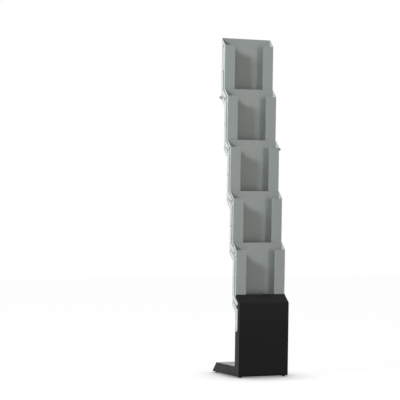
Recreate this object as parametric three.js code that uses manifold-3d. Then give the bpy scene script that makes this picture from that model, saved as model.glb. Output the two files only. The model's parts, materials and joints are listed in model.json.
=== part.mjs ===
import * as THREE from 'three';
import { mergeVertices } from 'three/addons/utils/BufferGeometryUtils.js';
import Module from 'manifold-3d';

const wasm = await Module();
wasm.setup();

// Millimetres. X runs across the rack, -Y is the front, Z is up, the floor is at Z = 0.

// Pockets: folded sheet, sized to hold upright A4 sheets.
const pocketCount = 5;
const pocketWidth = 238;
const pocketDepth = 31;
const sheet = 1.5;
const bendRadius = 2;
const flangeWidth = 49.5;
const sideDrop = 31;
const floorRise = 29;
const lipHeight = 40;

// Linkage: three pivots in a vertical row on each pocket side, links that stand outside the pockets.
const pivotSpacing = 111;
const pivotInset = 38;
const pivotDepth = 17.5;
const pocketStep = 34;
const linkWidth = 17;
const linkSheet = 2;
const linkCorner = 8;
const linkCrank = THREE.MathUtils.degToRad(41);

// Base: upright cover with a slanting top, foot behind it, frame and ballast inside.
const baseSideGap = 0.8;
const baseDepth = 39;
const baseHeight = 354;
const coverDrop = 34;
const coverSheet = 2;
const baseGap = 1.5;
const floorGap = 5;
const footDepth = 250;
const footHeight = 47;
const footRun = 32;
const footRearLip = 7;
const frameSheet = 3;
const frameLift = 8;
const frameDrop = 14;
const ballastWidth = 180;
const ballastDepth = 130;
const ballastHeight = 20;
const ballastOffset = 16;
const glideRadius = 8;
const glideTaper = 1;
const glideInset = 15;

// Rivets, studs and knobs.
const shankRadius = 3;
const collarRadius = 6;
const journalRadius = 4;
const headRadius = 5.6;
const headHeight = 1.8;
const innerFlange = 1.2;
const knobRadius = 5.8;
const knobNeck = 4.6;
const knobLength = 10;
const knobCollar = 3;
const knobCap = 0.8;
const knobFlutes = 12;
const fluteDepth = 0.5;
const studTip = 2;

// Fits.
const slideFit = 0.3;
const boreFit = 0.25;
const linkPlay = 0.5;

const pocketHeight = 2 * pivotSpacing + 2 * pivotInset;
const pocketPitch = 2 * pivotSpacing;
const baseWidth = pocketWidth + 2 * baseSideGap;
const coverFrontHeight = baseHeight - coverDrop;
const frameTop = baseHeight - frameDrop;
const frontY = -footDepth / 2;
const firstPocketY = frontY + baseDepth + baseGap;
const linkInner = baseWidth / 2 + linkPlay;
const linkOuter = linkInner + linkSheet;
const frameOuter = baseWidth / 2 - coverSheet - slideFit;

function solidOf(geometry) {
  const bare = geometry.clone();
  bare.deleteAttribute('normal');
  bare.deleteAttribute('uv');
  const merged = mergeVertices(bare, 1e-4);
  const corners = merged.index.array;
  const kept = [];
  for (let i = 0; i < corners.length; i += 3) {
    const [a, b, c] = corners.subarray(i, i + 3);
    if (a !== b && b !== c && c !== a) kept.push(a, b, c);
  }
  const vertProperties = new Float32Array(merged.attributes.position.array);
  const triVerts = new Uint32Array(kept);
  return new wasm.Manifold(new wasm.Mesh({ numProp: 3, vertProperties, triVerts }));
}

function geometryOf(solid) {
  const made = solid.getMesh();
  const geometry = new THREE.BufferGeometry();
  geometry.setAttribute('position', new THREE.BufferAttribute(new Float32Array(made.vertProperties), 3));
  geometry.setIndex(new THREE.BufferAttribute(new Uint32Array(made.triVerts), 1));
  const flat = geometry.toNonIndexed();
  flat.computeVertexNormals();
  return flat;
}

function block(x0, x1, y0, y1, z0, z1) {
  const geometry = new THREE.BoxGeometry(x1 - x0, y1 - y0, z1 - z0);
  geometry.translate((x0 + x1) / 2, (y0 + y1) / 2, (z0 + z1) / 2);
  return solidOf(geometry);
}

// A side view drawn as Y and Z, given its thickness from x0 to x1.
function sidePlate(shape, x0, x1, curveSegments = 8) {
  const geometry = new THREE.ExtrudeGeometry(shape, {
    depth: x1 - x0,
    bevelEnabled: false,
    curveSegments,
  });
  const across = new THREE.Matrix4().makeBasis(
    new THREE.Vector3(0, 1, 0),
    new THREE.Vector3(0, 0, 1),
    new THREE.Vector3(1, 0, 0),
  );
  geometry.applyMatrix4(across);
  geometry.translate(x0, 0, 0);
  return solidOf(geometry);
}

function outline(...points) {
  return new THREE.Shape(points.map(([y, z]) => new THREE.Vector2(y, z)));
}

// A round bar across the rack.
function crossBar(radius, x0, x1, y, z) {
  const geometry = new THREE.CylinderGeometry(radius, radius, x1 - x0, 16);
  geometry.rotateZ(-Math.PI / 2);
  geometry.translate((x0 + x1) / 2, y, z);
  return solidOf(geometry);
}

// A turned piece on a pivot: the profile holds radius and distance from the middle of the rack.
function turned(profile, side, y, z, segments = 12) {
  const points = profile.map(([radius, reach]) => new THREE.Vector2(radius, reach));
  const geometry = new THREE.LatheGeometry(points, segments);
  geometry.rotateZ((-side * Math.PI) / 2);
  geometry.translate(0, y, z);
  return solidOf(geometry);
}

// Plan of a pocket: back, two sides and two front flanges bent from one sheet.
function pocketPlan() {
  const half = pocketWidth / 2;
  const inner = bendRadius - sheet;
  const back = pocketDepth - bendRadius;
  const side = half - bendRadius;
  const quarter = Math.PI / 2;
  const shape = new THREE.Shape();
  shape.moveTo(half - flangeWidth, 0);
  shape.lineTo(side, 0);
  shape.absarc(side, bendRadius, bendRadius, -quarter, 0);
  shape.absarc(side, back, bendRadius, 0, quarter);
  shape.absarc(-side, back, bendRadius, quarter, 2 * quarter);
  shape.absarc(-side, bendRadius, bendRadius, 2 * quarter, 3 * quarter);
  shape.lineTo(-half + flangeWidth, 0);
  shape.lineTo(-half + flangeWidth, sheet);
  shape.absarc(-side, bendRadius, inner, 3 * quarter, 2 * quarter, true);
  shape.absarc(-side, back, inner, 2 * quarter, quarter, true);
  shape.absarc(side, back, inner, quarter, 0, true);
  shape.absarc(side, bendRadius, inner, 0, -quarter, true);
  shape.lineTo(half - flangeWidth, sheet);
  shape.closePath();
  return shape;
}

function pocketSolid(pocketY, bottomZ) {
  const folded = new THREE.ExtrudeGeometry(pocketPlan(), {
    depth: pocketHeight,
    bevelEnabled: false,
    curveSegments: 2,
  });
  let solid = solidOf(folded);
  const half = pocketWidth / 2;
  const backFace = pocketDepth - bendRadius;
  const slope = sideDrop / backFace;
  const sideCut = outline(
    [-1, pocketHeight - sideDrop - slope],
    [backFace, pocketHeight],
    [backFace, pocketHeight + 1],
    [-1, pocketHeight + 1],
  );
  solid = solid.subtract(sidePlate(sideCut, -half - 1, half + 1));
  const floorEdge = half - sheet / 2;
  const floorSlope = floorRise / pocketDepth;
  const floorSheet = sheet * Math.hypot(1, floorSlope);
  const floorFrontY = sheet / 2;
  const floorBackY = pocketDepth - sheet / 2;
  const floorPlate = outline(
    [floorFrontY, floorSlope * floorFrontY],
    [floorBackY, floorSlope * floorBackY],
    [floorBackY, floorSlope * floorBackY + floorSheet],
    [floorFrontY, floorSlope * floorFrontY + floorSheet],
  );
  solid = solid.add(sidePlate(floorPlate, -floorEdge, floorEdge));
  const lipEdge = half - flangeWidth + sheet;
  solid = solid.add(block(-lipEdge, lipEdge, 0, sheet, 0, lipHeight));
  const underCut = outline(
    [-1, -1 - floorSlope],
    [pocketDepth + 1, -1 - floorSlope],
    [pocketDepth + 1, floorSlope * (pocketDepth + 1)],
    [-1, -floorSlope],
  );
  solid = solid.subtract(sidePlate(underCut, -half - 1, half + 1));
  for (let row = 0; row < 3; row += 1) {
    const z = pivotInset + row * pivotSpacing;
    solid = solid.subtract(crossBar(shankRadius + boreFit, -half - 1, half + 1, pivotDepth, z));
  }
  return solid.translate([0, pocketY, bottomZ]);
}

// A cranked strip through the points given, square at both ends with rounded corners.
function stripShape(path, pivots) {
  const half = linkWidth / 2;
  const along = (a, b) => b.clone().sub(a).normalize();
  const across = (d) => new THREE.Vector2(-d.y, d.x);
  const last = path.length - 1;
  const left = [];
  const right = [];
  path.forEach((point, i) => {
    const before = i > 0 ? along(path[i - 1], point) : along(point, path[1]);
    const after = i < last ? along(point, path[i + 1]) : before;
    const normal = across(before).add(across(after)).normalize();
    const reach = half / normal.dot(across(after));
    const end = point.clone();
    if (i === 0) end.addScaledVector(after, -half);
    if (i === last) end.addScaledVector(before, half);
    left.push(end.clone().addScaledVector(normal, reach));
    right.unshift(end.clone().addScaledVector(normal, -reach));
  });
  const ring = [...left, ...right];
  const rounded = new Set([0, last, last + 1, ring.length - 1]);
  const shape = new THREE.Shape();
  ring.forEach((corner, i) => {
    const before = along(corner, ring[(i + ring.length - 1) % ring.length]);
    const after = along(corner, ring[(i + 1) % ring.length]);
    const trim = rounded.has(i) ? linkCorner : 0;
    const start = corner.clone().addScaledVector(before, trim);
    const end = corner.clone().addScaledVector(after, trim);
    if (i === 0) shape.moveTo(start.x, start.y);
    else shape.lineTo(start.x, start.y);
    if (trim > 0) shape.quadraticCurveTo(corner.x, corner.y, end.x, end.y);
  });
  shape.closePath();
  for (const pivot of pivots) {
    const hole = new THREE.Path();
    hole.absarc(pivot.x, pivot.y, journalRadius + boreFit, 0, 2 * Math.PI);
    shape.holes.push(hole);
  }
  return shape;
}

// Points of a full link around its middle pivot: the upper end lies behind, the lower end in front.
const linkUpper = new THREE.Vector2(pocketStep, pivotSpacing);
const linkMiddle = new THREE.Vector2(0, 0);
const linkLower = linkUpper.clone().negate();
const linkBend = new THREE.Vector2(0, pivotSpacing - pocketStep * Math.tan(linkCrank));
const linkBendLow = linkBend.clone().negate();
const fullLink = [linkUpper, linkBend, linkBendLow, linkLower];
const topLink = [linkMiddle, linkBendLow, linkLower];
const bottomLink = [linkUpper, linkBend, linkMiddle];

const pockets = [];
for (let level = pocketCount; level >= 1; level -= 1) {
  pockets.push({
    level: pocketCount + 1 - level,
    y: firstPocketY + (level - 1) * pocketStep,
    z: baseHeight + level * pocketPitch - pocketHeight,
  });
}
const basePivotY = firstPocketY + pivotDepth - pocketStep;
const basePivotZ = baseHeight - pivotInset;

function pocketPivot(pocket, row) {
  const rows = { l: 0, m: 1, u: 2 };
  return { y: pocket.y + pivotDepth, z: pocket.z + pivotInset + rows[row] * pivotSpacing };
}

function basePivot(row) {
  const rows = { u: 0, m: 1 };
  return { y: basePivotY, z: basePivotZ - rows[row] * pivotSpacing };
}

// Rivet through a wall from wallInner to wallOuter, with a collar that carries the link.
function rivetProfile(wallInner, wallOuter) {
  const collarEnd = linkInner - boreFit / 2;
  const headStart = linkOuter + slideFit;
  return [
    [0, wallInner - innerFlange],
    [collarRadius, wallInner - innerFlange],
    [collarRadius, wallInner],
    [shankRadius, wallInner],
    [shankRadius, wallOuter],
    [collarRadius, wallOuter],
    [collarRadius, collarEnd],
    [journalRadius, collarEnd],
    [journalRadius, headStart],
    [headRadius, headStart],
    [headRadius * 0.93, headStart + headHeight * 0.55],
    [headRadius * 0.6, headStart + headHeight],
    [0, headStart + headHeight],
  ];
}

// Stud for a clamp knob: the same seat as a rivet, with a thread that passes right through the knob.
function studProfile(wallInner, wallOuter) {
  const seat = rivetProfile(wallInner, wallOuter).slice(0, 8);
  const threadStart = linkOuter + slideFit;
  const threadEnd = threadStart + slideFit + knobLength + studTip;
  return [
    ...seat,
    [journalRadius, threadStart],
    [shankRadius, threadStart],
    [shankRadius, threadEnd - studTip / 6],
    [shankRadius * 0.8, threadEnd],
    [0, threadEnd],
  ];
}

// Knob: fluted grip on a plain neck, bored through for the stud.
function knobSolid(side, y, z) {
  const start = linkOuter + 2 * slideFit;
  const gripStart = start + knobCollar;
  const end = start + knobLength;
  const grip = new THREE.Shape();
  const corners = 4 * knobFlutes;
  for (let i = 0; i < corners; i += 1) {
    const turn = (2 * Math.PI * (i + 0.5)) / corners;
    const radius = i % 4 < 2 ? knobRadius : knobRadius - fluteDepth;
    const point = [y + radius * Math.cos(turn), z + radius * Math.sin(turn)];
    if (i === 0) grip.moveTo(...point);
    else grip.lineTo(...point);
  }
  grip.closePath();
  const near = side > 0 ? gripStart : -end + knobCap;
  const far = side > 0 ? end - knobCap : -gripStart;
  const collar = turned(
    [
      [0, start],
      [knobNeck, start],
      [knobNeck, gripStart + knobCap],
      [0, gripStart + knobCap],
    ],
    side,
    y,
    z,
    20,
  );
  const cap = turned(
    [
      [0, end - 2 * knobCap],
      [knobRadius - 2 * fluteDepth, end - 2 * knobCap],
      [knobRadius - 2 * fluteDepth, end - knobCap / 2],
      [knobRadius - 3 * fluteDepth, end],
      [0, end],
    ],
    side,
    y,
    z,
    20,
  );
  const bore = turned(
    [
      [0, start - 1],
      [shankRadius + boreFit, start - 1],
      [shankRadius + boreFit, end + 1],
      [0, end + 1],
    ],
    side,
    y,
    z,
    12,
  );
  return sidePlate(grip, near, far).add(collar).add(cap).subtract(bore);
}

const pocketPaint = { color: 0x9a9c97, roughness: 0.42, metalness: 0.55 };
const linkMetal = { color: 0xd6d7d5, roughness: 0.35, metalness: 0.9 };
const rivetMetal = { color: 0xc4c6c6, roughness: 0.3, metalness: 1 };
const blackPaint = { color: 0x1b1a1a, roughness: 0.38, metalness: 0.1 };
const darkSteel = { color: 0x4a4c4e, roughness: 0.55, metalness: 0.8 };
const dullZinc = { color: 0xa4a7a7, roughness: 0.5, metalness: 0.6 };
const blackRubber = { color: 0x131313, roughness: 0.85, metalness: 0 };

const rack = new THREE.Group();
rack.name = 'periodical_display_rack';

function place(name, solid, finish) {
  const mesh = new THREE.Mesh(geometryOf(solid), new THREE.MeshStandardMaterial(finish));
  mesh.name = name;
  rack.add(mesh);
}

// Base cover: front, slanting top and two sides, open behind and below.
const halfBase = baseWidth / 2;
const coverSlope = (baseHeight - coverFrontHeight) / baseDepth;
const coverInset = coverSheet * Math.hypot(1, coverSlope);
const coverOuter = outline(
  [frontY, floorGap],
  [frontY + baseDepth, floorGap],
  [frontY + baseDepth, baseHeight],
  [frontY, coverFrontHeight],
);
const coverHollow = outline(
  [frontY + coverSheet, 0],
  [frontY + baseDepth + 1, 0],
  [frontY + baseDepth + 1, baseHeight + coverSlope - coverInset],
  [frontY + coverSheet, coverFrontHeight + coverSlope * coverSheet - coverInset],
);
let cover = sidePlate(coverOuter, -halfBase, halfBase);
cover = cover.subtract(sidePlate(coverHollow, -halfBase + coverSheet, halfBase - coverSheet));

// Frame: two side plates up the cover and along the foot, joined by a floor plate.
const uprightRear = frontY + baseDepth - coverSheet - 2 * slideFit;
const legRear = frontY + footDepth - footRun - coverSheet - 3;
const legTop = footHeight - coverSheet - slideFit;
const uprightTop = frameTop - (baseDepth - coverSheet) * coverSlope;
const framePlate = outline(
  [frontY + coverSheet + slideFit, frameLift],
  [legRear, frameLift],
  [legRear, legTop],
  [uprightRear, legTop],
  [uprightRear, frameTop],
  [frontY + coverSheet + slideFit, uprightTop],
);
const floorRear = frontY + footDepth - coverSheet - slideFit;
let frame = sidePlate(framePlate, -frameOuter, -frameOuter + frameSheet);
frame = frame.add(sidePlate(framePlate, frameOuter - frameSheet, frameOuter));
const floorTop = frameLift + frameSheet;
const floorFront = frontY + coverSheet + slideFit;
frame = frame.add(block(-frameOuter, frameOuter, floorFront, floorRear, frameLift, floorTop));

for (const row of ['u', 'm']) {
  const { y, z } = basePivot(row);
  const bore = crossBar(shankRadius + boreFit, -halfBase - 1, halfBase + 1, y, z);
  cover = cover.subtract(bore);
  frame = frame.subtract(bore);
}
place('base_cover', cover, blackPaint);
place('base_frame', frame, darkSteel);

// Back panel of the base: stands between the cover's sides, above the foot.
const panelEdge = halfBase - coverSheet - slideFit;
const panelRear = frontY + baseDepth - slideFit;
const panelFront = uprightRear + slideFit;
const panelTop = baseHeight - coverInset - 2 * coverSheet;
const panelBottom = footHeight + slideFit;
place(
  'base_back_panel',
  block(-panelEdge, panelEdge, panelFront, panelRear, panelBottom, panelTop),
  blackPaint,
);

// Foot: a tray turned over, with a slanting rear end, open in front and below.
const footFront = frontY + baseDepth + slideFit;
const footRear = frontY + footDepth;
const footSlope = (footHeight - floorGap - footRearLip) / footRun;
const footInset = coverSheet * Math.hypot(1, footSlope);
const trayOuter = outline(
  [footFront, floorGap],
  [footRear, floorGap],
  [footRear, floorGap + footRearLip],
  [footRear - footRun, footHeight],
  [footFront, footHeight],
);
const hollowTop = footHeight - coverSheet;
const hollowRear = footRear - coverSheet;
const hollowLip = floorGap + footRearLip + coverSheet * footSlope - footInset;
const hollowTurn = hollowRear - (hollowTop - hollowLip) / footSlope;
const trayHollow = outline(
  [footFront - 1, 0],
  [hollowRear, 0],
  [hollowRear, hollowLip],
  [hollowTurn, hollowTop],
  [footFront - 1, hollowTop],
);
let tray = sidePlate(trayOuter, -halfBase, halfBase);
tray = tray.subtract(sidePlate(trayHollow, -halfBase + coverSheet, halfBase - coverSheet));
place('foot_tray', tray, blackPaint);

const ballastFront = footFront + ballastOffset;
place(
  'foot_ballast',
  block(
    -ballastWidth / 2,
    ballastWidth / 2,
    ballastFront,
    ballastFront + ballastDepth,
    floorTop,
    floorTop + ballastHeight,
  ),
  darkSteel,
);

// Rubber glides under the corners of the floor plate, narrower where they meet the floor.
function rubberGlide(x, y) {
  const sides = 20;
  const geometry = new THREE.CylinderGeometry(glideRadius, glideRadius - glideTaper, frameLift, sides);
  geometry.rotateX(Math.PI / 2);
  geometry.translate(x, y, frameLift / 2);
  return solidOf(geometry);
}
const glideX = halfBase - glideInset;
place('glide_front_left', rubberGlide(-glideX, frontY + glideInset), blackRubber);
place('glide_front_right', rubberGlide(glideX, frontY + glideInset), blackRubber);
place('glide_rear_left', rubberGlide(-glideX, footRear - glideInset), blackRubber);
place('glide_rear_right', rubberGlide(glideX, footRear - glideInset), blackRubber);

for (const pocket of pockets) {
  place(`pocket_${pocket.level}`, pocketSolid(pocket.y, pocket.z), pocketPaint);
}

function placeLinks(name, path, pivots, centre) {
  const shape = stripShape(path, pivots);
  const solid = sidePlate(shape, linkInner, linkOuter);
  const left = solid.translate([-linkInner - linkOuter, centre.y, centre.z]);
  place(`${name}_left`, left, linkMetal);
  place(`${name}_right`, solid.translate([0, centre.y, centre.z]), linkMetal);
}

placeLinks('link_top', topLink, [linkMiddle, linkLower], pocketPivot(pockets[0], 'm'));
for (const pocket of pockets.slice(1)) {
  const pivots = [linkUpper, linkMiddle, linkLower];
  placeLinks(`link_${pocket.level - 1}`, fullLink, pivots, pocketPivot(pocket, 'm'));
}
placeLinks('link_bottom', bottomLink, [linkUpper, linkMiddle], basePivot('m'));

// Rivets on every pivot in use, with a clamp stud and knob in place of two of them.
const clamps = { '1_l_left': 'left', '3_u_right': 'right' };
const sides = { left: -1, right: 1 };
const pocketInner = pocketWidth / 2 - sheet;
for (const pocket of pockets) {
  const rows = pocket.level === 1 ? ['m', 'l'] : ['u', 'm', 'l'];
  for (const row of rows) {
    const { y, z } = pocketPivot(pocket, row);
    for (const [sideName, side] of Object.entries(sides)) {
      const clamp = clamps[`${pocket.level}_${row}_${sideName}`];
      if (clamp) {
        const stud = turned(studProfile(pocketInner, pocketWidth / 2), side, y, z);
        place(`clamp_stud_${clamp}`, stud, rivetMetal);
        place(`clamp_knob_${clamp}`, knobSolid(side, y, z), dullZinc);
      } else {
        const rivet = turned(rivetProfile(pocketInner, pocketWidth / 2), side, y, z);
        place(`rivet_${pocket.level}_${row}_${sideName}`, rivet, rivetMetal);
      }
    }
  }
}
for (const row of ['u', 'm']) {
  const { y, z } = basePivot(row);
  for (const [sideName, side] of Object.entries(sides)) {
    const rivet = turned(rivetProfile(frameOuter - frameSheet, halfBase), side, y, z);
    place(`rivet_base_${row}_${sideName}`, rivet, rivetMetal);
  }
}

export default rack;
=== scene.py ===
import json
import math

import bmesh
import bpy
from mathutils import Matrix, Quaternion, Vector


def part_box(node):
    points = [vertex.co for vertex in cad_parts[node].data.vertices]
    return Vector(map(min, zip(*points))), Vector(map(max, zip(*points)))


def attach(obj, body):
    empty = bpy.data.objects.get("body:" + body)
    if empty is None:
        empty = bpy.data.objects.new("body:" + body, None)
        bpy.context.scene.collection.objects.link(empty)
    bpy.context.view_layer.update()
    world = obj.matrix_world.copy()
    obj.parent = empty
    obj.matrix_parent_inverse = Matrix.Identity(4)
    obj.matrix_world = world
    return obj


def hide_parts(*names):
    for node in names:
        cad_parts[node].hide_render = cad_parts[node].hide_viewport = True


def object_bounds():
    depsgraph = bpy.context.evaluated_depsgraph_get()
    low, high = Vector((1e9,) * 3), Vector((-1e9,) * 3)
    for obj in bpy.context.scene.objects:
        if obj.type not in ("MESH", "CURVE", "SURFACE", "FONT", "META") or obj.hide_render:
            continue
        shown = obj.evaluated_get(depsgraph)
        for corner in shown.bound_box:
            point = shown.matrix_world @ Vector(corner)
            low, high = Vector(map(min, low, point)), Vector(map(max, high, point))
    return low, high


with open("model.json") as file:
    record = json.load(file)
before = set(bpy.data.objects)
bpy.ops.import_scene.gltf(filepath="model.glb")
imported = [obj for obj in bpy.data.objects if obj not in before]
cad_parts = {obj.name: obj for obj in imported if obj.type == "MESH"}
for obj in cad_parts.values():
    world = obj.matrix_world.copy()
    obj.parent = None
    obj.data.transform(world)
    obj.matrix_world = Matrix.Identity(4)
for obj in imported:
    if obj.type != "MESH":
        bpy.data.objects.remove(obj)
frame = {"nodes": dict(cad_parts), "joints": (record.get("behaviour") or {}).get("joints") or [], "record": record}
cadLow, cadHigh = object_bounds()
mm = 0.001
pivotOf = {joint["name"]: Vector(joint["pos_m"]) for joint in frame["joints"]}
bodyOf = {node: body for body, members in frame["record"]["behaviour"]["bodies"].items() for node in members}
print("frame loaded:", len(frame["nodes"]), "nodes")


# small tools for modelling
tool = {"drillCorners": 32, "drillLength": 3 * cadHigh.x, "weld": 0.002 * mm, "smooth": math.radians(35),
        "same": 1e-6, "facing": 0.9}


def deselectAll():
    if bpy.context.mode != "OBJECT":
        bpy.ops.object.mode_set(mode="OBJECT")
    bpy.ops.object.select_all(action="DESELECT")


def startPiece(name):
    piece = bpy.context.active_object  # the primitive that was just added
    piece.name = piece.data.name = name
    bpy.ops.object.transform_apply(location=True, rotation=True, scale=True)
    bpy.ops.object.mode_set(mode="EDIT")
    return piece


def pick(piece, kind, test):
    bpy.ops.mesh.select_mode(type=kind)
    bpy.ops.mesh.select_all(action="DESELECT")
    mesh = bmesh.from_edit_mesh(piece.data)
    parts = {"VERT": mesh.verts, "EDGE": mesh.edges, "FACE": mesh.faces}[kind]
    for part in [part for part in parts if test(part)]:
        part.select_set(True)
    mesh.select_flush_mode()
    bmesh.update_edit_mesh(piece.data)


def middle(part):
    return sum((corner.co for corner in part.verts), Vector()) / len(part.verts)


def runsAlong(edge, axis):
    run = edge.verts[1].co - edge.verts[0].co
    return abs(run[axis]) > 0.999 * run.length


def applyModifier(piece, kind, **settings):
    if bpy.context.mode != "OBJECT":
        bpy.ops.object.mode_set(mode="OBJECT")
    modifier = piece.modifiers.new(kind.title(), kind)
    for name, value in settings.items():
        setattr(modifier, name, value)
    bpy.context.view_layer.objects.active = piece
    bpy.ops.object.modifier_apply(modifier=modifier.name)


def drillAcross(piece, radius, *axes):
    for y, z in axes:
        deselectAll()
        bpy.ops.mesh.primitive_cylinder_add(vertices=tool["drillCorners"], radius=radius,
                                            depth=tool["drillLength"], location=(0, y, z),
                                            rotation=(0, math.pi / 2, 0))
        drill = bpy.context.active_object
        deselectAll()
        applyModifier(piece, "BOOLEAN", object=drill, operation="DIFFERENCE", solver="EXACT")
        bpy.data.objects.remove(drill)


def softenEdges(piece, width, segments=2, angle=45):
    applyModifier(piece, "BEVEL", width=width, segments=segments, limit_method="ANGLE",
                  angle_limit=math.radians(angle), harden_normals=False)
    deselectAll()
    piece.select_set(True)
    bpy.context.view_layer.objects.active = piece
    bpy.ops.object.mode_set(mode="EDIT")
    bpy.ops.mesh.select_all(action="SELECT")
    bpy.ops.mesh.remove_doubles(threshold=tool["weld"])  # bevels that met leave doubled points
    bpy.ops.object.mode_set(mode="OBJECT")
    bpy.ops.object.shade_smooth_by_angle(angle=tool["smooth"])
    # flat faces stay flat beside the rounds
    applyModifier(piece, "WEIGHTED_NORMAL", weight=100, keep_sharp=True)


def copyTo(piece, name, shift, halfTurn=None):
    twin = piece.copy()
    twin.data = piece.data.copy()
    twin.name = twin.data.name = name
    bpy.context.collection.objects.link(twin)
    deselectAll()
    twin.select_set(True)
    bpy.context.view_layer.objects.active = twin
    bpy.ops.object.mode_set(mode="EDIT")
    bpy.ops.mesh.select_all(action="SELECT")
    if halfTurn is not None:  # half a turn about an upright axis carries a right-hand piece to the left
        bpy.ops.transform.rotate(value=math.pi, orient_axis="Z", center_override=halfTurn)
    bpy.ops.transform.translate(value=shift)
    bpy.ops.object.mode_set(mode="OBJECT")
    return twin


def fit(piece, material, *cadNodes):
    piece.data.materials.clear()
    piece.data.materials.append(material)
    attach(piece, bodyOf[cadNodes[0]])
    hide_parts(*cadNodes)


# small tools for materials
noiseSpan = (0.3, 0.7)  # most of a noise's values lie between these


def linear(hexColor):
    parts = [int(hexColor[i:i + 2], 16) / 255 for i in (1, 3, 5)]
    return [p / 12.92 if p <= 0.04045 else ((p + 0.055) / 1.055) ** 2.4 for p in parts] + [1]


def addNode(tree, kind, settings=None, **inputs):
    node = tree.nodes.new(kind)
    for name, value in (settings or {}).items():
        setattr(node, name, value)
    for name, value in inputs.items():
        key = int(name[2:]) if name.startswith("in") and name[2:].isdigit() else name.replace("_", " ")
        if isinstance(value, bpy.types.NodeSocket):
            tree.links.new(value, node.inputs[key])
        else:
            node.inputs[key].default_value = value
    return node


def newMaterial(name):
    material = bpy.data.materials.new(name)
    material.use_nodes = True
    material.node_tree.nodes.clear()
    return material, material.node_tree


# silver lacquer on bent sheet: satin, with metal flake and the faint upright lines of rolled sheet
silverLook = {"light": "#a7ada9", "dark": "#979e9a", "metallic": 0.1, "roughness": (0.36, 0.46),
              "lineMm": 2.4, "lineStretch": 0.012, "lineDetail": 0.6,
              "flakeMm": 1.4, "flakeShare": 0.35,  # real flake is far finer, drawn coarse to show
              "cloudMm": 160, "cloudShare": 0.4, "bumpMm": 0.05, "bumpStrength": 0.12}


def silverLacquer(name, look):
    material, tree = newMaterial(name)
    coords = addNode(tree, "ShaderNodeTexCoord").outputs["Object"]
    drawn = addNode(tree, "ShaderNodeMapping", Vector=coords, Scale=(1, 1, look["lineStretch"]))
    lines = addNode(tree, "ShaderNodeTexNoise", Vector=drawn.outputs[0], Scale=1 / (look["lineMm"] * mm),
                    Detail=3, Roughness=look["lineDetail"])
    flake = addNode(tree, "ShaderNodeTexVoronoi", Vector=coords, Scale=1 / (look["flakeMm"] * mm))
    spark = addNode(tree, "ShaderNodeSeparateColor", in0=flake.outputs["Color"])
    cloud = addNode(tree, "ShaderNodeTexNoise", Vector=coords, Scale=1 / (look["cloudMm"] * mm), Detail=2)
    grain = addNode(tree, "ShaderNodeMix", {"data_type": "FLOAT"}, in0=look["flakeShare"],
                    in2=lines.outputs[0], in3=spark.outputs[0])
    tone = addNode(tree, "ShaderNodeMix", {"data_type": "FLOAT"}, in0=look["cloudShare"],
                   in2=grain.outputs[0], in3=cloud.outputs[0])
    color = addNode(tree, "ShaderNodeMix", {"data_type": "RGBA"}, in0=tone.outputs[0],
                    in6=linear(look["dark"]), in7=linear(look["light"]))
    rough = addNode(tree, "ShaderNodeMapRange", in0=spark.outputs[1], in3=look["roughness"][0],
                    in4=look["roughness"][1])
    bump = addNode(tree, "ShaderNodeBump", Height=grain.outputs[0], Distance=look["bumpMm"] * mm,
                   Strength=look["bumpStrength"])
    shader = addNode(tree, "ShaderNodeBsdfPrincipled", Base_Color=color.outputs[2], Metallic=look["metallic"],
                     Roughness=rough.outputs[0], Normal=bump.outputs[0])
    addNode(tree, "ShaderNodeOutputMaterial", Surface=shader.outputs[0])
    return material


pocketSilver = silverLacquer("silver_lacquer_sheet", silverLook)
linkSilver = silverLacquer("silver_lacquer_bar", dict(silverLook, light="#b4b9b5", dark="#a4aaa6",
                                                      lineMm=1.6))


# black powder coat on steel: baked grains leave a fine orange peel and a satin gloss
blackLook = {"light": "#171415", "dark": "#100e0e", "roughness": (0.17, 0.25), "peelMm": 1.6,
             "grainMm": 0.9, "grainShare": 0.4, "cloudMm": 120, "cloudShare": 0.5, "bumpMm": 0.05,
             "bumpStrength": 0.25, "specular": 0.12}


def powderCoat(name, look):
    material, tree = newMaterial(name)
    coords = addNode(tree, "ShaderNodeTexCoord").outputs["Object"]
    peel = addNode(tree, "ShaderNodeTexNoise", Vector=coords, Scale=1 / (look["peelMm"] * mm), Detail=2)
    grain = addNode(tree, "ShaderNodeTexVoronoi", Vector=coords, Scale=1 / (look["grainMm"] * mm))
    cloud = addNode(tree, "ShaderNodeTexNoise", Vector=coords, Scale=1 / (look["cloudMm"] * mm), Detail=3)
    height = addNode(tree, "ShaderNodeMix", {"data_type": "FLOAT"}, in0=look["grainShare"],
                     in2=peel.outputs[0], in3=grain.outputs[0])
    tone = addNode(tree, "ShaderNodeMix", {"data_type": "FLOAT"}, in0=look["cloudShare"],
                   in2=peel.outputs[0], in3=cloud.outputs[0])
    color = addNode(tree, "ShaderNodeMix", {"data_type": "RGBA"}, in0=tone.outputs[0],
                    in6=linear(look["dark"]), in7=linear(look["light"]))
    rough = addNode(tree, "ShaderNodeMapRange", in0=tone.outputs[0], in1=noiseSpan[0], in2=noiseSpan[1],
                    in3=look["roughness"][0], in4=look["roughness"][1])
    bump = addNode(tree, "ShaderNodeBump", Height=height.outputs[0], Distance=look["bumpMm"] * mm,
                   Strength=look["bumpStrength"])
    shader = addNode(tree, "ShaderNodeBsdfPrincipled", Base_Color=color.outputs[2],
                     Roughness=rough.outputs[0], Specular_IOR_Level=look["specular"], Normal=bump.outputs[0])
    addNode(tree, "ShaderNodeOutputMaterial", Surface=shader.outputs[0])
    return material


blackCoat = powderCoat("black_powder_coat", blackLook)
primerSteel = powderCoat("grey_primed_steel", dict(blackLook, light="#55585a", dark="#45484a",
                                                   roughness=(0.5, 0.62), specular=0.4))


# zinc plate on turned steel: fine tool marks and a slight blue-grey cloud, bright on rivets, dull on knobs
zincLook = {"light": "#c9cccd", "dark": "#a9adb0", "metallic": 0.75, "roughness": (0.24, 0.36), "markMm": 0.5,
            "cloudMm": 3}


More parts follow.
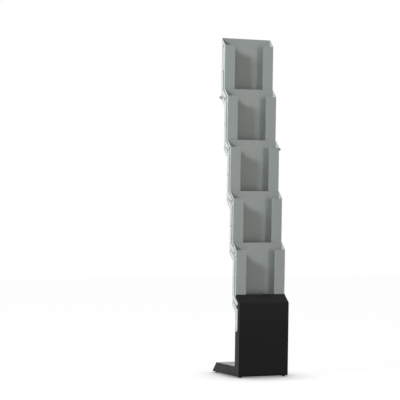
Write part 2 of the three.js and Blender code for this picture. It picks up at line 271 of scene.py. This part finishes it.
def zincPlate(name, look):
    material, tree = newMaterial(name)
    coords = addNode(tree, "ShaderNodeTexCoord").outputs["Object"]
    marks = addNode(tree, "ShaderNodeTexNoise", Vector=coords, Scale=1 / (look["markMm"] * mm), Detail=2)
    cloud = addNode(tree, "ShaderNodeTexNoise", Vector=coords, Scale=1 / (look["cloudMm"] * mm), Detail=2)
    color = addNode(tree, "ShaderNodeMix", {"data_type": "RGBA"}, in0=cloud.outputs[0],
                    in6=linear(look["dark"]), in7=linear(look["light"]))
    rough = addNode(tree, "ShaderNodeMapRange", in0=marks.outputs[0], in1=noiseSpan[0], in2=noiseSpan[1],
                    in3=look["roughness"][0], in4=look["roughness"][1])
    shader = addNode(tree, "ShaderNodeBsdfPrincipled", Base_Color=color.outputs[2], Metallic=look["metallic"],
                     Roughness=rough.outputs[0])
    addNode(tree, "ShaderNodeOutputMaterial", Surface=shader.outputs[0])
    return material


zincSteel = zincPlate("zinc_plated_steel", zincLook)
knobZinc = zincPlate("dull_zinc_plate", dict(zincLook, light="#bbbebe", dark="#a2a6a6", metallic=0.2,
                                             roughness=(0.45, 0.6)))


# moulded rubber of the glides: black, with a dusty bloom
rubberLook = {"light": "#1b1a19", "dark": "#100f0f", "roughness": (0.75, 0.9), "grainMm": 0.8,
              "bumpMm": 0.03, "bumpStrength": 0.3}


def mouldedRubber(name, look):
    material, tree = newMaterial(name)
    coords = addNode(tree, "ShaderNodeTexCoord").outputs["Object"]
    grain = addNode(tree, "ShaderNodeTexNoise", Vector=coords, Scale=1 / (look["grainMm"] * mm), Detail=3)
    color = addNode(tree, "ShaderNodeMix", {"data_type": "RGBA"}, in0=grain.outputs[0],
                    in6=linear(look["dark"]), in7=linear(look["light"]))
    rough = addNode(tree, "ShaderNodeMapRange", in0=grain.outputs[0], in1=noiseSpan[0], in2=noiseSpan[1],
                    in3=look["roughness"][0], in4=look["roughness"][1])
    bump = addNode(tree, "ShaderNodeBump", Height=grain.outputs[0], Distance=look["bumpMm"] * mm,
                   Strength=look["bumpStrength"])
    shader = addNode(tree, "ShaderNodeBsdfPrincipled", Base_Color=color.outputs[2],
                     Roughness=rough.outputs[0], Normal=bump.outputs[0])
    addNode(tree, "ShaderNodeOutputMaterial", Surface=shader.outputs[0])
    return material


glideRubber = mouldedRubber("black_rubber", rubberLook)
print("materials made:", len(bpy.data.materials))


# pockets: one sheet each, bent to back, sides and front flanges, with a floor and a low lip
pocket = {"sheet": 1.5 * mm, "bend": 2 * mm, "flange": 49.5 * mm, "sideDrop": 31 * mm, "floorRise": 29 * mm,
          "lip": 40 * mm, "edge": 0.35 * mm, "bendSteps": 6, "sharp": 50, "hole": 3.25 * mm, "holeRows": 3,
          "holeDepth": 17.5 * mm, "holeDrop": 38 * mm, "holePitch": 111 * mm}


def makePocket(name):
    low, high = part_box("pocket_1")
    deselectAll()
    bpy.ops.mesh.primitive_cube_add(size=1, location=(low + high) / 2, scale=high - low)
    piece = startPiece(name)
    pick(piece, "FACE", lambda face: face.normal.z > tool["facing"])
    bpy.ops.mesh.delete(type="ONLY_FACE")
    # floor that rises towards the back
    pick(piece, "VERT", lambda corner: corner.co.y > high.y - mm and corner.co.z < low.z + mm)
    bpy.ops.transform.translate(value=(0, 0, pocket["floorRise"]))
    # slanting top edge of the sides, which also shortens the front
    run = high.y - low.y - pocket["bend"]
    bpy.ops.mesh.select_all(action="SELECT")
    bpy.ops.mesh.bisect(plane_co=(0, low.y + run, high.z), plane_no=(0, -pocket["sideDrop"], run),
                        clear_outer=True)
    # opening between the flanges, above the lip
    inner = high.x - pocket["flange"]
    for place, normal in ((inner, (1, 0, 0)), (-inner, (1, 0, 0)), (low.z + pocket["lip"], (0, 0, 1))):
        pick(piece, "FACE", lambda face: face.normal.y < -tool["facing"])
        bpy.ops.mesh.bisect(plane_co=[place * n for n in normal], plane_no=normal)
    pick(piece, "FACE", lambda face: face.normal.y < -tool["facing"] and abs(middle(face).x) < inner - mm
         and middle(face).z > low.z + pocket["lip"])
    bpy.ops.mesh.delete(type="FACE")
    pick(piece, "EDGE", lambda edge: runsAlong(edge, 2) and abs(middle(edge).x) > high.x - mm)
    bpy.ops.mesh.bevel(offset=pocket["bend"], segments=pocket["bendSteps"], profile=0.5, clamp_overlap=False)
    applyModifier(piece, "SOLIDIFY", thickness=pocket["sheet"], offset=-1, use_even_offset=True)
    holeY, holeTop = low.y + pocket["holeDepth"], high.z - pocket["holeDrop"]
    drillAcross(piece, pocket["hole"], *((holeY, holeTop - row * pocket["holePitch"])
                                         for row in range(pocket["holeRows"])))
    return piece


pocketMaster = makePocket("pocketMaster")
for level in range(1, 6):
    node = f"pocket_{level}"
    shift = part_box(node)[0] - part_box("pocket_1")[0]
    piece = copyTo(pocketMaster, f"{node}_sheet", shift)
    softenEdges(piece, pocket["edge"], angle=pocket["sharp"])
    fit(piece, pocketSilver, node)
bpy.data.objects.remove(pocketMaster)
print("pockets made")


# base: upright cover with a slanting top, closed behind by a screwed panel, and a foot with a slanting end
base = {"sheet": 2 * mm, "bend": 2.8 * mm, "bendSteps": 5, "bendAngle": math.radians(20),
        "coverDrop": 34 * mm, "footRun": 32 * mm, "footLip": 7 * mm, "edge": 0.4 * mm, "sharp": 50,
        "hole": 3.25 * mm, "weld": 0.02 * mm, "panelCorner": 4 * mm, "panelCornerSteps": 5}


def makeFolded(name, node, cutPlace, cutNormal, openSides, holes=()):
    low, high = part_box(node)
    deselectAll()
    bpy.ops.mesh.primitive_cube_add(size=1, location=(low + high) / 2, scale=high - low)
    piece = startPiece(name)
    bpy.ops.mesh.select_all(action="SELECT")
    bpy.ops.mesh.bisect(plane_co=cutPlace, plane_no=cutNormal, clear_outer=True, use_fill=True)
    pick(piece, "FACE", lambda face: any(face.normal.dot(side) > tool["facing"] for side in openSides))
    bpy.ops.mesh.delete(type="FACE")
    pick(piece, "EDGE", lambda edge: not edge.is_boundary and edge.calc_face_angle() > base["bendAngle"])
    bpy.ops.mesh.bevel(offset=base["bend"], segments=base["bendSteps"], profile=0.5, clamp_overlap=True)
    applyModifier(piece, "SOLIDIFY", thickness=base["sheet"], offset=-1, use_even_offset=True)
    bpy.ops.object.mode_set(mode="EDIT")
    bpy.ops.mesh.select_all(action="SELECT")
    # rear edges cut flush
    bpy.ops.mesh.bisect(plane_co=high, plane_no=(0, 1, 0), clear_outer=True, use_fill=True)
    bpy.ops.mesh.select_all(action="SELECT")
    bpy.ops.mesh.remove_doubles(threshold=base["weld"])
    drillAcross(piece, base["hole"], *holes)
    softenEdges(piece, base["edge"], angle=base["sharp"])
    fit(piece, blackCoat, node)


low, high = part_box("base_cover")
makeFolded("base_cover_sheet", "base_cover", (0, high.y, high.z), (0, -base["coverDrop"], high.y - low.y),
           (Vector((0, 1, 0)), Vector((0, 0, -1))),
           [pivotOf[joint].yz for joint in ("fold", "bottom_link_turn")])
low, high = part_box("foot_tray")
footFall = high.z - low.z - base["footLip"]
makeFolded("foot_tray_sheet", "foot_tray", (0, high.y - base["footRun"], high.z),
           (0, footFall, base["footRun"]), (Vector((0, -1, 0)), Vector((0, 0, -1))))
print("base cover and foot made")


# turned pieces: a ring is drawn out along the rack's width and resized at each step of the profile
def makeTurned(name, profile, y, z, vertices):
    deselectAll()
    bpy.ops.mesh.primitive_circle_add(vertices=vertices, radius=profile[0][0], fill_type="NGON",
                                      location=(profile[0][1], y, z), rotation=(0, math.pi / 2, 0))
    piece = startPiece(name)
    bpy.ops.mesh.select_all(action="SELECT")
    for before, after in zip(profile, profile[1:]):
        bpy.ops.mesh.extrude_region_move(TRANSFORM_OT_translate={"value": (after[1] - before[1], 0, 0)})
        grow = after[0] / before[0]
        bpy.ops.transform.resize(value=(1, grow, grow), center_override=(after[1], y, z))
    bpy.ops.mesh.select_all(action="SELECT")
    bpy.ops.mesh.remove_doubles(threshold=tool["same"])
    bpy.ops.mesh.normals_make_consistent(inside=False)
    bpy.ops.object.mode_set(mode="OBJECT")
    return piece


# rivets: flange inside the wall, collar that carries the link, domed head outside
rivet = {"shank": 3 * mm, "collar": 6 * mm, "journal": 4 * mm, "head": 5.6 * mm, "headHeight": 1.8 * mm,
         "journalLength": 2.425 * mm, "shoulder": 0.01 * mm, "domeSteps": 7, "domeAngle": math.radians(84),
         "flange": 1.2 * mm, "edge": 0.3 * mm, "sharp": 60, "corners": 28}


def rivetSeat(start, wallOuter, headStart):
    wallInner = start + rivet["flange"]
    collarEnd = headStart - rivet["journalLength"]
    slope = rivet["shoulder"]
    return [(rivet["collar"], start), (rivet["collar"], wallInner), (rivet["shank"], wallInner + slope),
            (rivet["shank"], wallOuter - slope), (rivet["collar"], wallOuter), (rivet["collar"], collarEnd),
            (rivet["journal"], collarEnd + slope), (rivet["journal"], headStart - slope)]


def rivetDome(headStart, end):
    steps = []
    for step in range(rivet["domeSteps"]):
        turn = rivet["domeAngle"] * step / (rivet["domeSteps"] - 1)
        rise = math.sin(turn) / math.sin(rivet["domeAngle"])
        steps.append((rivet["head"] * math.cos(turn), headStart + (end - headStart) * rise))
    return steps


def placeTurned(master, material, nodes, y, z):
    for node in nodes:
        low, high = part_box(node)
        shift = Vector((0, (low.y + high.y) / 2 - y, (low.z + high.z) / 2 - z))
        half = Vector((0, y, z)) if high.x < 0 else None
        fit(copyTo(master, f"{node}_turned", shift, half), material, node)
    bpy.data.objects.remove(master)


allNodes = sorted(frame["nodes"])
baseRivets = [node for node in allNodes if node.startswith("rivet_base")]
pocketRivets = [node for node in allNodes if node.startswith("rivet_") and node not in baseRivets]
pocketWall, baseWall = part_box("pocket_1")[1].x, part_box("base_cover")[1].x
for nodes, wallOuter in ((pocketRivets, pocketWall), (baseRivets, baseWall)):
    sample = next(node for node in nodes if node.endswith("right"))
    low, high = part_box(sample)
    y, z = (low.y + high.y) / 2, (low.z + high.z) / 2
    headStart = high.x - rivet["headHeight"]
    profile = rivetSeat(low.x, wallOuter, headStart) + rivetDome(headStart, high.x)
    master = makeTurned("rivetMaster", profile, y, z, rivet["corners"])
    softenEdges(master, rivet["edge"], angle=rivet["sharp"])
    placeTurned(master, zincSteel, nodes, y, z)
print("rivets made:", len(baseRivets) + len(pocketRivets))


# clamp studs: a rivet's seat with a threaded end that passes through the knob
stud = {"headGap": 0.3 * mm, "threadDepth": 1 * mm, "pitch": 1 * mm, "root": 0.85, "tip": 0.8,
        "edge": 0.18 * mm, "corners": 24}
low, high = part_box("clamp_stud_right")
y, z = (low.y + high.y) / 2, (low.z + high.z) / 2
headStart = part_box("link_1_right")[1].x + stud["headGap"]
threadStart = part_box("clamp_knob_right")[1].x - stud["threadDepth"]
studSteps = rivetSeat(low.x, pocketWall, headStart)
studSteps += [(rivet["shank"], headStart), (rivet["shank"], threadStart)]
for turn in range(round((high.x - threadStart) / stud["pitch"])):  # ridges of the thread
    ridge = threadStart + turn * stud["pitch"]
    studSteps += [(rivet["shank"] * stud["root"], ridge + stud["pitch"] / 2),
                  (rivet["shank"], ridge + stud["pitch"])]
studSteps[-1] = (rivet["shank"] * stud["tip"], high.x)
studMaster = makeTurned("studMaster", studSteps, y, z, stud["corners"])
softenEdges(studMaster, stud["edge"], angle=rivet["sharp"])
placeTurned(studMaster, zincSteel, ["clamp_stud_left", "clamp_stud_right"], y, z)


# clamp knobs: fluted grip on a plain collar, bored through for the stud
knob = {"radius": 5.8 * mm, "collar": 4.6 * mm, "collarLength": 3 * mm, "flutes": 12, "fluteDepth": 0.5 * mm,
        "fluteCorners": 8, "fluteShape": {5: 0.7, 6: 1.0, 7: 0.7}, "capRing": 1 * mm, "capTop": 0.86,
        "dome": 0.5 * mm, "edge": 0.2 * mm, "sharp": 50, "bore": 3.25 * mm}


def cornerIndex(corner, y, z, corners):
    turn = math.atan2(corner.co.z - z, corner.co.y - y) % (2 * math.pi)
    return round(turn / (2 * math.pi) * corners)


def makeKnob(name):
    low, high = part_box("clamp_knob_right")
    y, z = (low.y + high.y) / 2, (low.z + high.z) / 2
    gripStart, gripEnd = low.x + knob["collarLength"], high.x - knob["dome"]
    corners = knob["flutes"] * knob["fluteCorners"]
    deselectAll()
    bpy.ops.mesh.primitive_circle_add(vertices=corners, radius=knob["collar"], fill_type="NGON",
                                      location=(low.x, y, z), rotation=(0, math.pi / 2, 0))
    piece = startPiece(name)
    # collar on the side of the link, then a step out to the grip
    pick(piece, "FACE", lambda face: True)
    bpy.ops.mesh.extrude_region_move(TRANSFORM_OT_translate={"value": (gripStart - low.x, 0, 0)})
    wider = knob["radius"] / knob["collar"]
    bpy.ops.mesh.extrude_region_move(TRANSFORM_OT_translate={"value": (0, 0, 0)})
    bpy.ops.transform.resize(value=(1, wider, wider), center_override=(gripStart, y, z))
    # flutes: rows of corners are drawn in towards the axis, deepest in the middle of each flute
    reach = (knob["radius"] + knob["collar"]) / 2
    for offset, share in knob["fluteShape"].items():
        pick(piece, "VERT", lambda corner: math.hypot(corner.co.y - y, corner.co.z - z) > reach
             and cornerIndex(corner, y, z, corners) % knob["fluteCorners"] == offset)
        shrink = 1 - share * knob["fluteDepth"] / knob["radius"]
        bpy.ops.transform.resize(value=(1, shrink, shrink), center_override=(gripStart, y, z))
    pick(piece, "FACE", lambda face: abs(middle(face).x - gripStart) < tool["same"]
         and len(face.verts) == corners)
    bpy.ops.mesh.extrude_region_move(TRANSFORM_OT_translate={"value": (gripEnd - gripStart, 0, 0)})
    narrower = 1 - knob["capRing"] / knob["radius"]
    bpy.ops.mesh.extrude_region_move(TRANSFORM_OT_translate={"value": (0, 0, 0)})
    bpy.ops.transform.resize(value=(1, narrower, narrower), center_override=(gripEnd, y, z))
    bpy.ops.mesh.extrude_region_move(TRANSFORM_OT_translate={"value": (knob["dome"], 0, 0)})
    bpy.ops.transform.resize(value=(1, knob["capTop"], knob["capTop"]), center_override=(high.x, y, z))
    bpy.ops.mesh.select_all(action="SELECT")
    bpy.ops.mesh.normals_make_consistent(inside=False)
    drillAcross(piece, knob["bore"], (y, z))
    softenEdges(piece, knob["edge"], segments=3, angle=knob["sharp"])
    return piece, y, z


knobMaster, y, z = makeKnob("knobMaster")
placeTurned(knobMaster, knobZinc, ["clamp_knob_left", "clamp_knob_right"], y, z)
print("studs and knobs made")


# links: flat bars cranked near both ends, with small round corners
link = {"width": 17 * mm, "sheet": 2 * mm, "corner": 8 * mm, "cornerSteps": 8, "reach": 111 * mm,
        "step": 34 * mm, "crank": math.radians(41), "edge": 0.3 * mm, "sharp": 60, "hole": 4.5 * mm}


def crankEnd(piece, x, bend, towards):
    lean = math.atan2(link["step"], link["reach"] - bend)  # angle of the arm from the upright
    arm = Vector((0, link["step"], link["reach"] - bend)) * towards
    arm *= 1 + link["width"] / 2 / arm.length
    corner = Vector((x, 0, bend * towards))
    pick(piece, "EDGE", lambda edge: runsAlong(edge, 1)
         and abs(middle(edge).z - corner.z) < 10 * tool["same"])
    stretch = 1 / math.cos(lean / 2)
    bpy.ops.transform.rotate(value=lean / 2, orient_axis="X", center_override=corner)
    bpy.ops.transform.resize(value=(1, stretch, stretch), center_override=corner)
    bpy.ops.mesh.extrude_edges_move(TRANSFORM_OT_translate={"value": arm})
    bpy.ops.transform.rotate(value=lean / 2, orient_axis="X", center_override=corner + arm)
    bpy.ops.transform.resize(value=(1, 1 / stretch, 1 / stretch), center_override=corner + arm)


def makeLink(name, upperEnd, lowerEnd, x):
    bend = link["reach"] - link["step"] * math.tan(link["crank"])
    top = bend if upperEnd else link["width"] / 2
    bottom = -bend if lowerEnd else -link["width"] / 2
    deselectAll()
    centre = (x, 0, (top + bottom) / 2)
    bpy.ops.mesh.primitive_plane_add(size=1, location=centre, rotation=(0, math.pi / 2, 0))
    piece = startPiece(name)
    bpy.ops.mesh.select_all(action="SELECT")
    bpy.ops.transform.resize(value=(1, link["width"], top - bottom), center_override=centre)
    ends = [towards for towards, there in ((1, upperEnd), (-1, lowerEnd)) if there]
    for towards in ends:
        crankEnd(piece, x, bend, towards)
    pick(piece, "VERT", lambda corner: len(corner.link_edges) == 2)  # only the square ends have such corners
    bpy.ops.mesh.bevel(affect="VERTICES", offset=link["corner"], segments=link["cornerSteps"])
    bpy.ops.mesh.select_all(action="SELECT")
    bpy.ops.mesh.normals_make_consistent(inside=False)
    mesh = bmesh.from_edit_mesh(piece.data)
    mesh.faces.ensure_lookup_table()
    if mesh.faces[0].normal.x < 0:
        bpy.ops.mesh.flip_normals()
    applyModifier(piece, "SOLIDIFY", thickness=link["sheet"], offset=1)
    drillAcross(piece, link["hole"], (0, 0),
                *((link["step"] * towards, link["reach"] * towards) for towards in ends))
    softenEdges(piece, link["edge"], segments=3, angle=link["sharp"])
    return piece


pocketPivots = {"link_top": "pocket_1_level", "link_1": "pocket_2_level", "link_2": "pocket_3_level",
                "link_3": "pocket_4_level", "link_4": "pocket_5_level", "link_bottom": "bottom_link_turn"}
linkKinds = {"link_top": (False, True), "link_bottom": (True, False)}
for name, pivot in pocketPivots.items():
    right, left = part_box(f"{name}_right"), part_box(f"{name}_left")
    master = makeLink("linkMaster", *linkKinds.get(name, (True, True)), right[0].x)
    place = Vector((0, pivotOf[pivot].y, pivotOf[pivot].z))
    fit(copyTo(master, f"{name}_right_bar", place), linkSilver, f"{name}_right")
    place.x = left[0].x - right[0].x
    fit(copyTo(master, f"{name}_left_bar", place), linkSilver, f"{name}_left")
    bpy.data.objects.remove(master)
print("links made")


# back panel of the base, held by pan head screws
screw = {"radius": 3.6 * mm, "head": 1.4 * mm, "inset": 14 * mm,
         "shape": ((1, 0), (1, 0.4), (0.92, 0.75), (0.7, 1)), "rim": 0.35, "recess": 0.5, "recessTaper": 0.5,
         "edge": 0.1 * mm, "sharp": 50, "corners": 24}


def makePanel(name):
    low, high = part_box("base_back_panel")
    deselectAll()
    bpy.ops.mesh.primitive_cube_add(size=1, location=(low + high) / 2, scale=high - low)
    piece = startPiece(name)
    pick(piece, "EDGE", lambda edge: runsAlong(edge, 1))
    bpy.ops.mesh.bevel(offset=base["panelCorner"], segments=base["panelCornerSteps"])
    bpy.ops.object.mode_set(mode="OBJECT")
    softenEdges(piece, base["edge"])
    fit(piece, blackCoat, "base_back_panel")
    return low, high


def makeScrew(name, x, y, z):
    steps = [(screw["radius"] * share, screw["head"] * rise) for share, rise in screw["shape"]]
    deselectAll()
    bpy.ops.mesh.primitive_circle_add(vertices=screw["corners"], radius=steps[0][0], fill_type="NGON",
                                      location=(x, y, z), rotation=(-math.pi / 2, 0, 0))
    piece = startPiece(name)
    bpy.ops.mesh.select_all(action="SELECT")
    for before, after in zip(steps, steps[1:]):
        bpy.ops.mesh.extrude_region_move(TRANSFORM_OT_translate={"value": (0, after[1] - before[1], 0)})
        grow = after[0] / before[0]
        bpy.ops.transform.resize(value=(grow, 1, grow), center_override=(x, y + after[1], z))
    # round recess for the driver, sunk from the crown
    bpy.ops.mesh.inset(thickness=screw["rim"] * screw["radius"], depth=0)
    sink = -screw["recess"] * screw["head"]
    bpy.ops.mesh.extrude_region_move(TRANSFORM_OT_translate={"value": (0, sink, 0)})
    taper = screw["recessTaper"]
    bpy.ops.transform.resize(value=(taper, 1, taper), center_override=(x, y, z))
    bpy.ops.mesh.select_all(action="SELECT")
    bpy.ops.mesh.normals_make_consistent(inside=False)
    bpy.ops.object.mode_set(mode="OBJECT")
    softenEdges(piece, screw["edge"], angle=screw["sharp"])
    piece.data.materials.append(zincSteel)
    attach(piece, "base")


low, high = makePanel("base_back_panel_sheet")
for row, z in (("upper", high.z - screw["inset"]), ("lower", low.z + screw["inset"])):
    for side, x in (("left", low.x + screw["inset"]), ("right", high.x - screw["inset"])):
        makeScrew(f"panel_screw_{row}_{side}", x, high.y, z)
print("back panel made")


# rubber glides: tapered, rounded where they meet the floor
glide = {"taper": 1 * mm, "round": 1.2 * mm, "roundSteps": 4, "edge": 0.3 * mm, "sharp": 60, "corners": 40}
for node in [name for name in allNodes if name.startswith("glide_")]:
    low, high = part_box(node)
    centre = (low + high) / 2
    radius = (high.x - low.x) / 2
    deselectAll()
    bpy.ops.mesh.primitive_cylinder_add(vertices=glide["corners"], radius=radius, depth=high.z - low.z,
                                        location=centre)
    piece = startPiece(f"{node}_foot")
    pick(piece, "FACE", lambda face: face.normal.z < -tool["facing"])
    shrink = 1 - glide["taper"] / radius
    bpy.ops.transform.resize(value=(shrink, shrink, 1), center_override=(centre.x, centre.y, low.z))
    pick(piece, "EDGE", lambda edge: abs(middle(edge).z - low.z) < tool["same"])
    bpy.ops.mesh.bevel(offset=glide["round"], segments=glide["roundSteps"])
    bpy.ops.object.mode_set(mode="OBJECT")
    softenEdges(piece, glide["edge"], angle=glide["sharp"])
    fit(piece, glideRubber, node)
print("glides made")


# frame and ballast are carried over from the CAD model
for node in ("base_frame", "foot_ballast"):
    frame["nodes"][node].data.materials.clear()
    frame["nodes"][node].data.materials.append(primerSteel)


# floor: pale, white to the eye away from the rack, with a soft painted shade close to it
floorLook = {"color": "#b6b6b6", "shade": 0.3, "white": 1.03, "shadeReach": 0.18, "shadeFrom": 0.45,
             "rays": 32, "lit": 0.05, "size": 14}


def seenRays(tree):  # rays that show the white studio: straight to the eye, or by way of metal or glass
    path = addNode(tree, "ShaderNodeLightPath")
    mirrored = addNode(tree, "ShaderNodeMath", {"operation": "MAXIMUM"}, in0=path.outputs["Is Glossy Ray"],
                       in1=path.outputs["Is Transmission Ray"])
    seen = addNode(tree, "ShaderNodeMath", {"operation": "MAXIMUM"}, in0=path.outputs["Is Camera Ray"],
                   in1=mirrored.outputs[0])
    return seen.outputs[0]


def makeFloor(name):
    deselectAll()
    bpy.ops.mesh.primitive_plane_add(size=floorLook["size"], location=(0, 0, 0))
    floor = bpy.context.active_object
    floor.name = floor.data.name = name
    material, tree = newMaterial("pale_studio_floor")
    # painted shade: ambient occlusion darkens the floor's seen glow close to the rack, in place of its contact
    # shadow
    near = addNode(tree, "ShaderNodeAmbientOcclusion", {"samples": floorLook["rays"]},
                   Distance=floorLook["shadeReach"])
    level = addNode(tree, "ShaderNodeMapRange", in0=near.outputs["AO"], in1=floorLook["shadeFrom"], in2=1,
                    in3=floorLook["shade"], in4=floorLook["white"])
    matte = addNode(tree, "ShaderNodeBsdfDiffuse", Color=linear(floorLook["color"]))
    white = addNode(tree, "ShaderNodeEmission", Color=(1, 1, 1, 1), Strength=level.outputs[0])
    shown = addNode(tree, "ShaderNodeMixShader", in0=floorLook["lit"], in1=white.outputs[0],
                    in2=matte.outputs[0])
    surface = addNode(tree, "ShaderNodeMixShader", in0=seenRays(tree), in1=matte.outputs[0],
                      in2=shown.outputs[0])
    addNode(tree, "ShaderNodeOutputMaterial", Surface=surface.outputs[0])
    floor.data.materials.append(material)


makeFloor("studio_floor")


# world: a dim room with a pale ceiling and a white wall behind the rack; all white where seen or mirrored
worldLook = {"room": 0.05, "wall": 1, "wallHeading": (0.438, 0.899, 0), "edgeFrom": 0.75, "edgeTo": 0.92,
             "ceiling": 0.2, "ceilingFrom": 0.55, "ceilingTo": 0.85}
world = bpy.data.worlds.new("studio")
bpy.context.scene.world = world
world.use_nodes = True
world.node_tree.nodes.clear()
ray = addNode(world.node_tree, "ShaderNodeTexCoord").outputs["Generated"]
heading = addNode(world.node_tree, "ShaderNodeVectorMath", {"operation": "DOT_PRODUCT"},
                  in0=ray, in1=worldLook["wallHeading"])
around = addNode(world.node_tree, "ShaderNodeMapRange", {"interpolation_type": "SMOOTHSTEP"},
                 in0=heading.outputs["Value"], in1=worldLook["edgeFrom"], in2=worldLook["edgeTo"],
                 in3=worldLook["room"], in4=worldLook["wall"])
rise = addNode(world.node_tree, "ShaderNodeSeparateXYZ", in0=ray)
above = addNode(world.node_tree, "ShaderNodeMapRange", {"interpolation_type": "SMOOTHSTEP"},
                in0=rise.outputs["Z"], in1=worldLook["ceilingFrom"], in2=worldLook["ceilingTo"],
                in3=0.0, in4=worldLook["ceiling"])
both = addNode(world.node_tree, "ShaderNodeMath", {"operation": "ADD"}, in0=around.outputs[0],
               in1=above.outputs[0])
level = addNode(world.node_tree, "ShaderNodeMath", {"operation": "MAXIMUM"}, in0=both.outputs[0],
                in1=seenRays(world.node_tree))
sky = addNode(world.node_tree, "ShaderNodeBackground", Color=(1, 1, 1, 1), Strength=level.outputs[0])
addNode(world.node_tree, "ShaderNodeOutputWorld", Surface=sky.outputs[0])


# lamps: a softbox high and far to the left, and a weak upright panel to the right of the camera
lampAim = Vector((0, 0, 0.75))
lamps = {"key": {"place": (-5.4, -1.27, 3.6), "size": (0.95, 0.95), "power": 600, "color": "#fafcff",
                 "mirrored": False},  # else the black bend shows it as a white patch from the right
         "fill": {"place": (3.75, -6.55, 1.3), "size": (1.6, 2.5), "power": 27, "color": "#fff6f0",
                  "mirrored": True}}
for name, look in lamps.items():
    data = bpy.data.lights.new(name, "AREA")
    data.shape, data.energy = "RECTANGLE", look["power"]
    data.size, data.size_y = look["size"]
    data.color = linear(look["color"])[:3]
    lamp = bpy.data.objects.new(name, data)
    lamp.location = look["place"]
    lamp.rotation_mode = "QUATERNION"
    lamp.rotation_quaternion = (lampAim - lamp.location).to_track_quat("-Z", "Y")
    lamp.visible_glossy = look["mirrored"]
    bpy.context.collection.objects.link(lamp)
print("floor, world and lamps made")


# camera: a long lens from the left front, almost level, as in the photograph
view = {"place": (-3.4903, -6.677, 0.8366), "turn": 25.857, "tiltDown": 0.6144, "roll": 0.832,
        "lens": 155.721, "sensor": 36}
cameraData = bpy.data.cameras.new("camera")
cameraData.lens, cameraData.sensor_width = view["lens"], view["sensor"]
camera = bpy.data.objects.new("camera", cameraData)
bpy.context.collection.objects.link(camera)
camera.location = view["place"]
turn, tilt = math.radians(view["turn"]), math.radians(view["tiltDown"])
ahead = Vector((math.sin(turn) * math.cos(tilt), math.cos(turn) * math.cos(tilt), -math.sin(tilt)))
camera.rotation_mode = "QUATERNION"
roll = Quaternion((0, 0, 1), math.radians(view["roll"]))
camera.rotation_quaternion = ahead.to_track_quat("-Z", "Y") @ roll
bpy.context.scene.camera = camera
bpy.context.scene.view_settings.view_transform = "Standard"

deselectAll()
